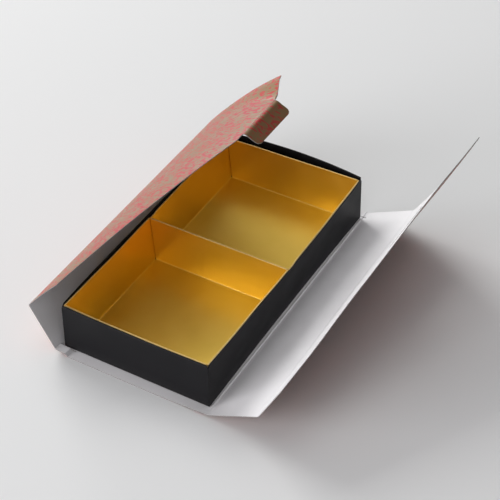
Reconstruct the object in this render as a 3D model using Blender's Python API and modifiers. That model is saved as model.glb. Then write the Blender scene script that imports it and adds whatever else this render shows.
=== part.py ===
"""Paper jubako: a black tray with two gold inner trays, standing in a printed wrap.

The wrap is one sheet of board. Its floor, two walls, two leaves and tuck tab are joined by creases,
and the leaves cross over the tray like a collar. Lengths are in metres, +Z is up, and +Y runs from
the front lip to the far end. The origin is on the table, under the middle of the black tray.
"""

import math

import bmesh
import bpy
from mathutils import Matrix, Vector

# Black tray
TRAY_WIDTH = 0.103
TRAY_LENGTH = 0.200
TRAY_HEIGHT = 0.034
TRAY_BOARD = 0.0006
TRAY_FAR_BOW = 0.0042
TRAY_RIGHT_BOW = 0.0006
BOW_STRIPS = 12
FLAP_LENGTH = 0.016
FLAP_BOARD = 0.0005
FLAP_DROP = 0.0012
NOTCH_WIDTH = 0.0024
NOTCH_DEPTH = 0.0026

# Gold inner trays
INNER_BOARD = 0.0006
INNER_SIDE_TAPER = 0.0050
INNER_END_TAPER = 0.0042
INNER_RIM_DROP = 0.0014
INNER_SIDE_CLEARANCE = 0.0004
INNER_END_CLEARANCE = 0.0003
INNER_MIDDLE_GAP = 0.0004
INNER_FAR_SLACK = 0.0031
INNER_FLAP_LENGTH = 0.014
INNER_FLAP_BOARD = 0.0005
INNER_FLAP_DROP = 0.0085
INNER_FLAP_LIFT = 0.0015
CORNER_INSET = 0.0006
SEAM_WIDTH = 0.0003
SEAM_LIFT = 0.0012

# Wrap
WRAP_BOARD = 0.0005
LIP = 0.0073
REST_GAP = 0.0003
CREASE_GAP = 0.0003
LEFT_CREASE_CLEARANCE = 0.0006
RIGHT_CREASE_CLEARANCE = 0.0036
LEFT_LEAF_CLEARANCE = 0.0020
RIGHT_LEAF_CLEARANCE = 0.0017

# Corner tongue, which the left wall's notch leaves flat in the floor's plane
TONGUE_START = 0.0080
TONGUE_REACH = 0.0044
TONGUE_BACK_REACH = 0.0033
TONGUE_END_SETBACK = 0.0040
TONGUE_WAIST_SETBACK = 0.0027
TONGUE_WAIST_FROM_CREASE = 0.0026
TONGUE_SLIT_FROM_CREASE = 0.0086
TONGUE_SLIT_WIDTH = 0.0008
TONGUE_SLIT_DEPTH = 0.0060

# Leaves
LEFT_LEAF_WIDTH = 0.083
RIGHT_LEAF_WIDTH = 0.0845
LEAF_FRONT_WIDTH = 0.030
LEAF_FRONT_SETBACK = 0.0038
SHOULDER_FROM_FAR = 0.0658
FAR_CORNER_TRIM = 0.0025
LEFT_LEAF_BEND = 25.5
LEFT_LEAF_FAR_BEND = 12.5
LEFT_LEAF_BEND_POWER = 1.2
LEAF_COLUMNS = 12
LEAF_ROWS = 26

# Tuck tab and its slit in the right leaf
TAB_FROM_FAR = 0.0193
TAB_WIDTH = 0.0445
TAB_LENGTH = 0.0125
TAB_CORNER = 0.0045
TAB_ROOT_STEP = 0.0012
SLIT_WIDTH = 0.0026
SLIT_END_CLEARANCE = 0.0015
SLIT_ARCH_ALLOWANCE = 0.0006
CORNER_STEPS = 6

# Angles at rest, in degrees from +X towards +Z, of the line from each crease across its panel
LEFT_WALL_ANGLE = 119.0
LEFT_LEAF_ANGLE = 51.5
TAB_ANGLE = -29.0
RIGHT_WALL_ANGLE = 25.6
RIGHT_LEAF_ANGLE = 62.8

# Places worked out from the sizes above
WRAP_LENGTH = TRAY_LENGTH + 2 * LIP
WRAP_END = WRAP_LENGTH / 2
HALF_CREASE_GAP = CREASE_GAP / 2
LEFT_CREASE_X = -TRAY_WIDTH / 2 - LEFT_CREASE_CLEARANCE
RIGHT_CREASE_X = TRAY_WIDTH / 2 + RIGHT_CREASE_CLEARANCE
TRAY_FLOOR_Z = WRAP_BOARD + REST_GAP
LEFT_WALL_WIDTH = REST_GAP + TRAY_HEIGHT + LEFT_LEAF_CLEARANCE
RIGHT_WALL_WIDTH = REST_GAP + TRAY_HEIGHT + RIGHT_LEAF_CLEARANCE
INNER_FLOOR_Z = TRAY_FLOOR_Z + TRAY_BOARD + REST_GAP
INNER_HEIGHT = TRAY_HEIGHT - TRAY_BOARD - REST_GAP - INNER_RIM_DROP
INNER_WIDTH = TRAY_WIDTH - 2 * (TRAY_BOARD + INNER_SIDE_CLEARANCE)
END_FACE_Y = TRAY_LENGTH / 2 - TRAY_BOARD - FLAP_BOARD
INNER_LENGTH = (2 * END_FACE_Y - INNER_END_CLEARANCE - INNER_MIDDLE_GAP - INNER_FAR_SLACK) / 2
NEAR_TRAY_Y = -END_FACE_Y + INNER_END_CLEARANCE + INNER_LENGTH / 2
FAR_TRAY_Y = NEAR_TRAY_Y + INNER_LENGTH + INNER_MIDDLE_GAP
SLIT_FROM_CREASE = RIGHT_CREASE_X - LEFT_CREASE_X - LEFT_LEAF_WIDTH + SLIT_ARCH_ALLOWANCE
WELD_DISTANCE = 0.00001
CUT_OVERRUN = 0.002

# Colours
BLACK_BOARD = (0.012, 0.012, 0.013)
GOLD_FOIL = (0.62, 0.36, 0.05)
PRINTED_BOARD = (0.62, 0.34, 0.25)
WHITE_BOARD = (0.78, 0.78, 0.78)


def clear_scene():
    for thing in list(bpy.data.objects):
        bpy.data.objects.remove(thing, do_unlink=True)


def new_collection(name):
    collection = bpy.data.collections.new(name)
    bpy.context.scene.collection.children.link(collection)
    return collection


def board_material(name, colour, roughness, metallic=0.0):
    """A plain Principled finish for one kind of board."""
    material = bpy.data.materials.new(name)
    material.use_nodes = True
    shader = material.node_tree.nodes["Principled BSDF"]
    shader.inputs["Base Color"].default_value = (*colour, 1.0)
    shader.inputs["Roughness"].default_value = roughness
    shader.inputs["Metallic"].default_value = metallic
    return material


def mesh_object(name, mesh, collection, material=None):
    thing = bpy.data.objects.new(name, mesh)
    if material:
        mesh.materials.clear()
        mesh.materials.append(material)
    collection.objects.link(thing)
    return thing


def baked_mesh(thing):
    """The mesh of an object after its modifiers, with its own placing left out."""
    bpy.context.view_layer.update()
    graph = bpy.context.evaluated_depsgraph_get()
    return bpy.data.meshes.new_from_object(thing.evaluated_get(graph))


def bake(thing):
    """Replace an object's mesh and modifiers by the result of those modifiers."""
    mesh = baked_mesh(thing)
    thing.modifiers.clear()
    thing.data = mesh
    return thing


def combine(thing, tools, operation):
    """Join tools to a body, or cut them from it, and remove the tools."""
    for tool in tools:
        boolean = thing.modifiers.new(operation.title(), "BOOLEAN")
        boolean.operation = operation
        boolean.solver = "EXACT"
        boolean.object = tool
    bake(thing)
    for tool in tools:
        bpy.data.objects.remove(tool, do_unlink=True)
    return thing


def cutter_box(name, place):
    """A cube primitive whose corners, given as 0 or 1 along u, v and w, are moved by place(u, v, w)."""
    mesh = bpy.data.meshes.new(name)
    body = bmesh.new()
    bmesh.ops.create_cube(body, size=1.0)
    for corner in body.verts:
        corner.co = place(*(round(value + 0.5) for value in corner.co))
    bmesh.ops.recalc_face_normals(body, faces=body.faces)
    body.to_mesh(mesh)
    body.free()
    tool = mesh_object(name, mesh, CUTTERS)
    tool.hide_render = True
    tool.display_type = "WIRE"
    return tool


def plate(name, outlines, thickness, outer_side, material):
    """A flat panel from closed outlines in its own XY plane. Its inner face lies at z = 0, on the
    crease axis, and its board lies on the outer side, which is +1 for up and -1 for down."""
    curve = bpy.data.curves.new(name, "CURVE")
    curve.dimensions = "2D"
    curve.fill_mode = "BOTH"
    curve.extrude = thickness / 2
    for points in outlines:
        spline = curve.splines.new("POLY")
        spline.points.add(len(points) - 1)
        for point, (x, y) in zip(spline.points, points):
            point.co = (x, y, 0, 1)
        spline.use_cyclic_u = True
    drawing = bpy.data.objects.new(name, curve)
    PARTS.objects.link(drawing)
    mesh = baked_mesh(drawing)
    bpy.data.objects.remove(drawing, do_unlink=True)
    bpy.data.curves.remove(curve)
    body = bmesh.new()
    body.from_mesh(mesh)
    bmesh.ops.remove_doubles(body, verts=body.verts, dist=WELD_DISTANCE)
    bmesh.ops.translate(body, verts=body.verts, vec=(0, 0, outer_side * thickness / 2))
    bmesh.ops.recalc_face_normals(body, faces=body.faces)
    body.to_mesh(mesh)
    body.free()
    mesh.name = name
    return mesh_object(name, mesh, PARTS, material)


def rounded(corners, radii):
    """A closed outline with each corner replaced by an arc of its own radius, where that isn't 0."""
    points = []
    count = len(corners)
    for i, (corner, radius) in enumerate(zip(corners, radii)):
        here = Vector(corner)
        if not radius:
            points.append(tuple(here))
            continue
        before = (Vector(corners[i - 1]) - here).normalized()
        after = (Vector(corners[(i + 1) % count]) - here).normalized()
        half = before.angle(after) / 2
        centre = here + (before + after).normalized() * radius / math.sin(half)
        start = here + before * radius / math.tan(half) - centre
        end = here + after * radius / math.tan(half) - centre
        turn = start.angle_signed(end)
        for step in range(CORNER_STEPS + 1):
            points.append(tuple(centre + Matrix.Rotation(-turn * step / CORNER_STEPS, 2) @ start))
    return points


def hang(thing, hinge, angle):
    """Put a panel on its crease: its origin on the axis, its X turned to an angle above +X."""
    thing.location = (hinge[0], 0, hinge[1])
    thing.rotation_euler = (0, -math.radians(angle), 0)


def across(hinge, angle, distance):
    """The point, in X and Z, at a distance from a crease along a panel at an angle."""
    turn = math.radians(angle)
    return (hinge[0] + distance * math.cos(turn), hinge[1] + distance * math.sin(turn))


def tray_shell(name, rim, floor, height, board, strips, material):
    """An open tray: a cube primitive without its top, drawn in to the floor's size, then thickened
    inwards. Its rims are cut into strips, so that a wall can bow."""
    mesh = bpy.data.meshes.new(name)
    body = bmesh.new()
    bmesh.ops.create_cube(body, size=1.0)
    top = [face for face in body.faces if face.normal.z > 0.5]
    bottom = [face for face in body.faces if face.normal.z < -0.5]
    bmesh.ops.delete(body, geom=top + bottom, context="FACES_ONLY")
    for corner in body.verts:
        width, length = rim if corner.co.z > 0 else floor
        corner.co = (corner.co.x * width, corner.co.y * length, (corner.co.z + 0.5) * height)
    level = [edge for edge in body.edges if abs(edge.verts[0].co.z - edge.verts[1].co.z) < height / 2]
    if strips > 1:
        bmesh.ops.subdivide_edges(body, edges=level, cuts=strips - 1)
    loop = [edge for edge in body.edges if max(end.co.z for end in edge.verts) < height / 2]
    bmesh.ops.edgeloop_fill(body, edges=loop)
    bmesh.ops.recalc_face_normals(body, faces=body.faces)
    floor_face = min(body.faces, key=lambda face: face.calc_center_median().z)
    if floor_face.normal.z > 0:
        bmesh.ops.reverse_faces(body, faces=body.faces)
    body.to_mesh(mesh)
    body.free()
    tray = mesh_object(name, mesh, PARTS, material)
    shell = tray.modifiers.new("Board", "SOLIDIFY")
    shell.thickness = board
    shell.offset = -1.0
    shell.use_even_offset = True
    return bake(tray)


def black_tray(material):
    """The black tray, with glued flaps inside its end walls and a relief at each rim corner."""
    size = (TRAY_WIDTH, TRAY_LENGTH)
    tray = tray_shell("black_tray", size, size, TRAY_HEIGHT, TRAY_BOARD, BOW_STRIPS, material)
    flaps = []
    for side in (-1, 1):
        for end in (-1, 1):

            def flap_corner(u, v, w, side=side, end=end):
                start = TRAY_WIDTH / 2 - TRAY_BOARD / 2
                x = side * (start - u * (FLAP_LENGTH - TRAY_BOARD / 2))
                y = end * (TRAY_LENGTH / 2 - TRAY_BOARD / 2 - v * (TRAY_BOARD / 2 + FLAP_BOARD))
                low = TRAY_BOARD / 2
                return (x, y, low + w * (TRAY_HEIGHT - FLAP_DROP - low))

            flaps.append(cutter_box("flap", flap_corner))
    combine(tray, flaps, "UNION")
    notches = []
    for side in (-1, 1):
        for end in (-1, 1):

            def notch_corner(u, v, w, side=side, end=end):
                x = side * (TRAY_WIDTH / 2 - TRAY_BOARD + (2 * u - 1) * TRAY_BOARD / 2 + u * TRAY_BOARD)
                outer = TRAY_LENGTH / 2 + CUT_OVERRUN
                inner = TRAY_LENGTH / 2 - TRAY_BOARD - NOTCH_WIDTH * w
                y = end * (outer + v * (inner - outer))
                return (x, y, TRAY_HEIGHT - NOTCH_DEPTH + w * (NOTCH_DEPTH + CUT_OVERRUN * w))

            notches.append(cutter_box("notch", notch_corner))
    combine(tray, notches, "DIFFERENCE")
    for point in tray.data.vertices:
        rise = point.co.z / TRAY_HEIGHT
        if point.co.y > END_FACE_Y - TRAY_BOARD:
            point.co.y += TRAY_FAR_BOW * rise * (1 - (2 * point.co.x / TRAY_WIDTH) ** 2)
        elif point.co.x > TRAY_WIDTH / 2 - 2 * TRAY_BOARD:
            point.co.x += TRAY_RIGHT_BOW * rise * (1 - (2 * point.co.y / TRAY_LENGTH) ** 2)
    tray.location = (0, 0, TRAY_FLOOR_Z)
    return tray


def inner_tray(name, place, turn, material):
    """One gold tray: tapered walls, flaps glued outside its end walls, and a seam at each corner."""
    rim = (INNER_WIDTH, INNER_LENGTH)
    floor = (INNER_WIDTH - 2 * INNER_SIDE_TAPER, INNER_LENGTH - 2 * INNER_END_TAPER)
    tray = tray_shell(name, rim, floor, INNER_HEIGHT, INNER_BOARD, 1, material)

    def side_x(z):
        return INNER_WIDTH / 2 - INNER_SIDE_TAPER * (1 - z / INNER_HEIGHT)

    def end_y(z):
        return INNER_LENGTH / 2 - INNER_END_TAPER * (1 - z / INNER_HEIGHT)

    flaps = []
    seams = []
    for side in (-1, 1):
        for end in (-1, 1):

            def flap_corner(u, v, w, side=side, end=end):
                z = INNER_FLAP_LIFT + w * (INNER_HEIGHT - INNER_FLAP_DROP - INNER_FLAP_LIFT)
                x = side * (side_x(z) - CORNER_INSET - u * INNER_FLAP_LENGTH)
                y = end * (end_y(z) - INNER_BOARD / 2 + v * (INNER_BOARD / 2 + INNER_FLAP_BOARD))
                return (x, y, z)

            def seam_corner(u, v, w, side=side, end=end):
                z = INNER_BOARD + SEAM_LIFT + w * (INNER_HEIGHT + CUT_OVERRUN - INNER_BOARD - SEAM_LIFT)
                x = side * (side_x(z) - INNER_BOARD - u * SEAM_WIDTH)
                y = end * (end_y(z) - 2 * INNER_BOARD + v * (2 * INNER_BOARD - INNER_BOARD / 3))
                return (x, y, z)

            flaps.append(cutter_box("inner_flap", flap_corner))
            seams.append(cutter_box("seam", seam_corner))
    combine(tray, flaps, "UNION")
    combine(tray, seams, "DIFFERENCE")
    tray.location = (0, place, INNER_FLOOR_Z)
    tray.rotation_euler = (0, 0, turn)
    return tray


def wrap_bottom(material):
    """The wrap's floor, with the front lip and the tongue cut free at its left end."""
    left = LEFT_CREASE_X + HALF_CREASE_GAP
    right = RIGHT_CREASE_X - HALF_CREASE_GAP
    tongue_back = -WRAP_END + TONGUE_START
    waist_x = LEFT_CREASE_X + TONGUE_WAIST_FROM_CREASE
    slit_x = LEFT_CREASE_X + TONGUE_SLIT_FROM_CREASE
    outline = [
        (right, -WRAP_END),
        (right, WRAP_END),
        (left, WRAP_END),
        (left, tongue_back),
        (LEFT_CREASE_X - TONGUE_BACK_REACH, tongue_back),
        (LEFT_CREASE_X - TONGUE_REACH, -WRAP_END + TONGUE_END_SETBACK),
        (waist_x, -WRAP_END + TONGUE_WAIST_SETBACK),
        (slit_x, -WRAP_END),
        (slit_x, -WRAP_END + TONGUE_SLIT_DEPTH),
        (slit_x + TONGUE_SLIT_WIDTH, -WRAP_END + TONGUE_SLIT_DEPTH),
        (slit_x + TONGUE_SLIT_WIDTH, -WRAP_END),
    ]
    panel = plate("wrap_bottom", [outline], WRAP_BOARD, -1, material)
    panel.location = (0, 0, WRAP_BOARD)
    return panel


def wrap_left_wall(material):
    """The left wall, with the notch that its tongue came out of."""
    start = HALF_CREASE_GAP
    end = LEFT_WALL_WIDTH - HALF_CREASE_GAP
    notch = TONGUE_REACH + CREASE_GAP
    notch_y = -WRAP_END + TONGUE_START + CREASE_GAP
    outline = [
        (start, notch_y),
        (notch, notch_y),
        (notch, -WRAP_END),
        (end, -WRAP_END),
        (end, WRAP_END),
        (start, WRAP_END),
    ]
    return plate("wrap_left_wall", [outline], WRAP_BOARD, 1, material)


def wrap_right_wall(material):
    start = HALF_CREASE_GAP
    end = RIGHT_WALL_WIDTH - HALF_CREASE_GAP
    outline = [(start, -WRAP_END), (end, -WRAP_END), (end, WRAP_END), (start, WRAP_END)]
    return plate("wrap_right_wall", [outline], WRAP_BOARD, -1, material)


def leaf_front(distance, width):
    """Y of a leaf's front edge at a distance from its crease: a short slant, then the long collar edge."""
    corner_y = -WRAP_END + LEAF_FRONT_SETBACK
    shoulder_y = WRAP_END - SHOULDER_FROM_FAR
    if distance <= LEAF_FRONT_WIDTH:
        return -WRAP_END + LEAF_FRONT_SETBACK * distance / LEAF_FRONT_WIDTH
    share = (distance - LEAF_FRONT_WIDTH) / (width - LEAF_FRONT_WIDTH)
    return corner_y + (shoulder_y - corner_y) * share


def wrap_left_leaf(material):
    """The left leaf as a bent sheet. Its slope falls away from the crease as a power of the distance,
    evenly as far as the tab, and less towards the far end, where the corner springs up."""
    tab_end = WRAP_END - TAB_FROM_FAR
    trim_start = LEFT_LEAF_WIDTH - FAR_CORNER_TRIM

    def far_end(distance):
        past = max(0, (distance - trim_start) / FAR_CORNER_TRIM)
        return WRAP_END + (tab_end - WRAP_END) * past

    def bend(y):
        share = min(max((y - tab_end) / (WRAP_END - tab_end), 0), 1)
        ease = share * share * (3 - 2 * share)
        return math.radians(LEFT_LEAF_BEND + (LEFT_LEAF_FAR_BEND - LEFT_LEAF_BEND) * ease)

    def sheet_point(distance, y):
        steps = LEAF_COLUMNS * 4
        x = z = 0
        for i in range(steps):
            middle = distance * (i + 0.5) / steps
            slope = -bend(y) * (middle / LEFT_LEAF_WIDTH) ** LEFT_LEAF_BEND_POWER
            x += distance / steps * math.cos(slope)
            z += distance / steps * math.sin(slope)
        return (x, y, z)

    edge = LEFT_LEAF_WIDTH - HALF_CREASE_GAP
    even = [LEAF_FRONT_WIDTH + (trim_start - LEAF_FRONT_WIDTH) * i / (LEAF_COLUMNS - 4)
            for i in range(LEAF_COLUMNS - 3)]
    near = [HALF_CREASE_GAP + (LEAF_FRONT_WIDTH - HALF_CREASE_GAP) * i / 4 for i in range(4)]
    distances = near + even + [edge]
    body = bmesh.new()
    columns = []
    for distance in distances:
        low = leaf_front(distance, LEFT_LEAF_WIDTH)
        high = far_end(distance)
        columns.append([
            body.verts.new(sheet_point(distance, low + (high - low) * row / LEAF_ROWS))
            for row in range(LEAF_ROWS + 1)
        ])
    for first, second in zip(columns, columns[1:]):
        for row in range(LEAF_ROWS):
            body.faces.new((first[row], second[row], second[row + 1], first[row + 1]))
    mesh = bpy.data.meshes.new("wrap_left_leaf")
    body.to_mesh(mesh)
    body.free()
    leaf = mesh_object("wrap_left_leaf", mesh, PARTS, material)
    board = leaf.modifiers.new("Board", "SOLIDIFY")
    board.thickness = WRAP_BOARD
    board.offset = 1.0
    board.use_even_offset = True
    edge_x, _, edge_z = sheet_point(LEFT_LEAF_WIDTH, WRAP_END - SHOULDER_FROM_FAR)
    return leaf, (edge_x, edge_z)


def wrap_tuck_tab(material):
    """The tuck tab: a short panel with two round corners, a little narrower at its root."""
    far = WRAP_END - TAB_FROM_FAR - TAB_ROOT_STEP
    near = WRAP_END - TAB_FROM_FAR - TAB_WIDTH + TAB_ROOT_STEP
    corners = [(HALF_CREASE_GAP, near), (TAB_LENGTH, near), (TAB_LENGTH, far), (HALF_CREASE_GAP, far)]
    outline = rounded(corners, (0, TAB_CORNER, TAB_CORNER, 0))
    return plate("wrap_tuck_tab", [outline], WRAP_BOARD, 1, material)


def wrap_right_leaf(material):
    """The right leaf, with the slit that the tuck tab goes down through."""
    outline = [
        (HALF_CREASE_GAP, leaf_front(HALF_CREASE_GAP, RIGHT_LEAF_WIDTH)),
        (LEAF_FRONT_WIDTH, leaf_front(LEAF_FRONT_WIDTH, RIGHT_LEAF_WIDTH)),
        (RIGHT_LEAF_WIDTH, leaf_front(RIGHT_LEAF_WIDTH, RIGHT_LEAF_WIDTH)),
        (RIGHT_LEAF_WIDTH, WRAP_END),
        (HALF_CREASE_GAP, WRAP_END),
    ]
    far = WRAP_END - TAB_FROM_FAR + SLIT_END_CLEARANCE
    near = far - TAB_WIDTH - 2 * SLIT_END_CLEARANCE
    low = SLIT_FROM_CREASE - SLIT_WIDTH / 2
    high = SLIT_FROM_CREASE + SLIT_WIDTH / 2
    round_end = SLIT_WIDTH / 2.001
    slit = rounded([(low, near), (high, near), (high, far), (low, far)], (round_end,) * 4)
    return plate("wrap_right_leaf", [outline, slit], WRAP_BOARD, -1, material)


clear_scene()
PARTS = new_collection("paper_jubako")
CUTTERS = new_collection("cutters")

black = board_material("black_board", BLACK_BOARD, 0.55)
gold = board_material("gold_foil", GOLD_FOIL, 0.3, 1.0)
printed = board_material("printed_board", PRINTED_BOARD, 0.7)
white = board_material("white_board", WHITE_BOARD, 0.6)

black_tray(black)
inner_tray("near_gold_tray", NEAR_TRAY_Y, 0, gold)
inner_tray("far_gold_tray", FAR_TRAY_Y, math.pi, gold)

wrap_bottom(white)
left_hinge = (LEFT_CREASE_X, WRAP_BOARD)
left_top = across(left_hinge, LEFT_WALL_ANGLE, LEFT_WALL_WIDTH)
right_hinge = (RIGHT_CREASE_X, WRAP_BOARD)
right_top = across(right_hinge, RIGHT_WALL_ANGLE, RIGHT_WALL_WIDTH)
hang(wrap_left_wall(white), left_hinge, LEFT_WALL_ANGLE)
hang(wrap_right_wall(white), right_hinge, RIGHT_WALL_ANGLE)
hang(wrap_right_leaf(white), right_top, RIGHT_LEAF_ANGLE)
left_leaf, leaf_edge = wrap_left_leaf(printed)
hang(left_leaf, left_top, LEFT_LEAF_ANGLE)
edge_distance = math.hypot(*leaf_edge)
edge_slope = math.degrees(math.atan2(leaf_edge[1], leaf_edge[0]))
tab_hinge = across(left_top, LEFT_LEAF_ANGLE + edge_slope, edge_distance)
hang(wrap_tuck_tab(printed), tab_hinge, TAB_ANGLE)

for name, point in (("left wall", left_hinge), ("left leaf", left_top), ("tuck tab", tab_hinge),
                    ("right wall", right_hinge), ("right leaf", right_top)):
    print(f"{name} crease at x {point[0]:.6f}, z {point[1]:.6f}")
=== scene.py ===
"""Looks of a paper jubako: a black tray with two gold inner trays, opened in its printed wrap.

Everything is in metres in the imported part's frame: +Z is up, the front lip is at -Y, the printed
left leaf stands at -X and the white right leaf at +X.
"""

import math

import bpy
import numpy as np
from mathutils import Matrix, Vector


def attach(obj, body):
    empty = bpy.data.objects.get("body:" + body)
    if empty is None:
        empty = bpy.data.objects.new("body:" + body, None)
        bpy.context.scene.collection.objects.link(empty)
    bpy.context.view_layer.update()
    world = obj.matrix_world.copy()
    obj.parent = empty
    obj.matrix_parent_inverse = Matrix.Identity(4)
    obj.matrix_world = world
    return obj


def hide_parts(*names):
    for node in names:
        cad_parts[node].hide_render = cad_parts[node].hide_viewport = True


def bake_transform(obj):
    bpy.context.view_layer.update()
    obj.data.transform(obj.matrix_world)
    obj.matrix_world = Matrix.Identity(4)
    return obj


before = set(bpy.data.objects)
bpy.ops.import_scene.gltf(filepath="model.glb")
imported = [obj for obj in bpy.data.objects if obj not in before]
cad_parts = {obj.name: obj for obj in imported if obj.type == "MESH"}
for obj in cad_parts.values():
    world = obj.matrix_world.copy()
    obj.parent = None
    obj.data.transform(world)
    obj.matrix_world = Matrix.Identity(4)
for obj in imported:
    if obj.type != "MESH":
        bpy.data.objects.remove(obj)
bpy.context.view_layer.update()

# Camera
# A long lens looks down at the box from its front right corner, as the photographer stood.
# There is no shift and no depth of field.


def placed(name, data):
    """A new object with this data, in the scene."""
    thing = bpy.data.objects.new(name, data)
    bpy.context.scene.collection.objects.link(thing)
    return thing


camera_data = bpy.data.cameras.new("camera")
camera_data.sensor_width = 36.0
camera_data.lens = 105.01
camera_data.clip_end = 20.0
camera = placed("camera", camera_data)
camera.location = (0.3619, -0.5980, 0.6381)
camera_aim = Vector((0.00315, 0.03433, 0.0))
camera.rotation_euler = (camera_aim - camera.location).to_track_quat("-Z", "Y").to_euler()
bpy.context.scene.camera = camera
bpy.context.scene.view_settings.view_transform = "Standard"

# Wrap board
# The wrap is one sheet of coated folding board, 0.5 mm thick: white inside, printed outside, with
# a core that shows at the cut edges, drawn dark grey, partly as painted shade for thin edges in
# shade.
# It is die cut, scored and folded.
BOARD = 0.0005
WHITE = (0.87, 0.852, 0.865)
WHITE_MOTTLE = (0.85, 0.832, 0.845), (0.885, 0.867, 0.88)
WHITE_FIBRE = (0.83, 0.81, 0.81)
KRAFT = (0.28, 0.17, 0.08)
KRAFT_MOTTLE = (0.235, 0.155, 0.072), (0.285, 0.168, 0.086)
RED_INK = (0.46, 0.038, 0.035), (0.44, 0.022, 0.035)
# Painted shade: the tab's print colours are drawn darker and duller than the leaf's, since the tab
# lies in shade.
TAB_PAINTED_SHADE = (0.180, 0.103, 0.045), (0.32, 0.035, 0.028)
TAB_PAINTED_SHADE_STARTS = (-0.1735, -0.1715)
# The cut edges' colour: the board's core, darkened as painted shade for edges that lie in shade.
BOARD_CORE_AND_SHADE = (0.30, 0.28, 0.27)


def principled(name, colour, roughness, metallic=0.0, specular=0.5):
    """A new material with its Principled shader and its node tree."""
    material = bpy.data.materials.new(name)
    material.use_nodes = True
    shader = material.node_tree.nodes["Principled BSDF"]
    shader.inputs["Base Color"].default_value = (*colour, 1.0)
    shader.inputs["Roughness"].default_value = roughness
    shader.inputs["Metallic"].default_value = metallic
    shader.inputs["Specular IOR Level"].default_value = specular
    return material, shader, material.node_tree


def noise(tree, kind, scale, detail=2.0, roughness=0.5, distortion=0.0, turn=0.0):
    """Noise on a piece's own coordinates, Object or UV, stretched by a scale per metre."""
    source = tree.nodes.new("ShaderNodeTexCoord")
    mapping = tree.nodes.new("ShaderNodeMapping")
    mapping.inputs["Scale"].default_value = scale
    mapping.inputs["Rotation"].default_value = (0, 0, turn)
    tree.links.new(source.outputs[kind], mapping.inputs["Vector"])
    texture = tree.nodes.new("ShaderNodeTexNoise")
    texture.inputs["Scale"].default_value = 1.0
    texture.inputs["Detail"].default_value = detail
    texture.inputs["Roughness"].default_value = roughness
    texture.inputs["Distortion"].default_value = distortion
    tree.links.new(mapping.outputs["Vector"], texture.inputs["Vector"])
    return texture.outputs["Fac"]


def ramp(tree, value, low, high, out_low=0.0, out_high=1.0):
    """A value carried smoothly from low..high to out_low..out_high."""
    node = tree.nodes.new("ShaderNodeMapRange")
    node.interpolation_type = "SMOOTHSTEP"
    node.inputs["From Min"].default_value = low
    node.inputs["From Max"].default_value = high
    node.inputs["To Min"].default_value = out_low
    node.inputs["To Max"].default_value = out_high
    tree.links.new(value, node.inputs["Value"])
    return node.outputs["Result"]


def arithmetic(tree, operation, first, second):
    """Two values worked into one; each is a number or another node's output."""
    node = tree.nodes.new("ShaderNodeMath")
    node.operation = operation
    for socket, value in zip(node.inputs, (first, second)):
        if isinstance(value, (int, float)):
            socket.default_value = value
        else:
            tree.links.new(value, socket)
    return node.outputs["Value"]


def mixed(tree, share, first, second):
    """Two colours mixed by a share; each is a colour or another node's output. The Mix node's
    colour sockets are its inputs 6 and 7 and its output 2."""
    node = tree.nodes.new("ShaderNodeMix")
    node.data_type = "RGBA"
    tree.links.new(share, node.inputs["Factor"])
    for socket, value in ((node.inputs[6], first), (node.inputs[7], second)):
        if isinstance(value, tuple):
            socket.default_value = (*value, 1.0)
        else:
            tree.links.new(value, socket)
    return node.outputs[2]


def bumped(tree, height, depth, strength=1.0, under=None):
    """A normal that follows a height of some depth, over a coarser normal where one is given."""
    node = tree.nodes.new("ShaderNodeBump")
    node.inputs["Distance"].default_value = depth
    node.inputs["Strength"].default_value = strength
    tree.links.new(height, node.inputs["Height"])
    if under is not None:
        tree.links.new(under, node.inputs["Normal"])
    return node.outputs["Normal"]


def finished(tree, shader, colour, roughness=None, normal=None):
    """Gives the shader its colour and, where they are given, its roughness and its normal."""
    for socket, value in (("Base Color", colour), ("Roughness", roughness), ("Normal", normal)):
        if value is not None:
            tree.links.new(value, shader.inputs[socket])


def white_coating():
    """The inner side: white clay coating over board, faintly mottled, with a satin sheen."""
    material, shader, tree = principled("wrap_white_coating", WHITE, 0.5, specular=0.4)
    blotches = noise(tree, "UV", (55, 55, 55), 3.0)
    fibres = noise(tree, "UV", (1400, 420, 900), 2.0, 0.6)
    tone = mixed(tree, ramp(tree, blotches, 0.3, 0.7), *WHITE_MOTTLE)
    finished(
        tree, shader,
        mixed(tree, ramp(tree, fibres, 0.62, 0.8), tone, WHITE_FIBRE),
        ramp(tree, fibres, 0.3, 0.7, 0.45, 0.56),
        bumped(tree, fibres, 0.00002, 0.6),
    )
    return material


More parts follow.
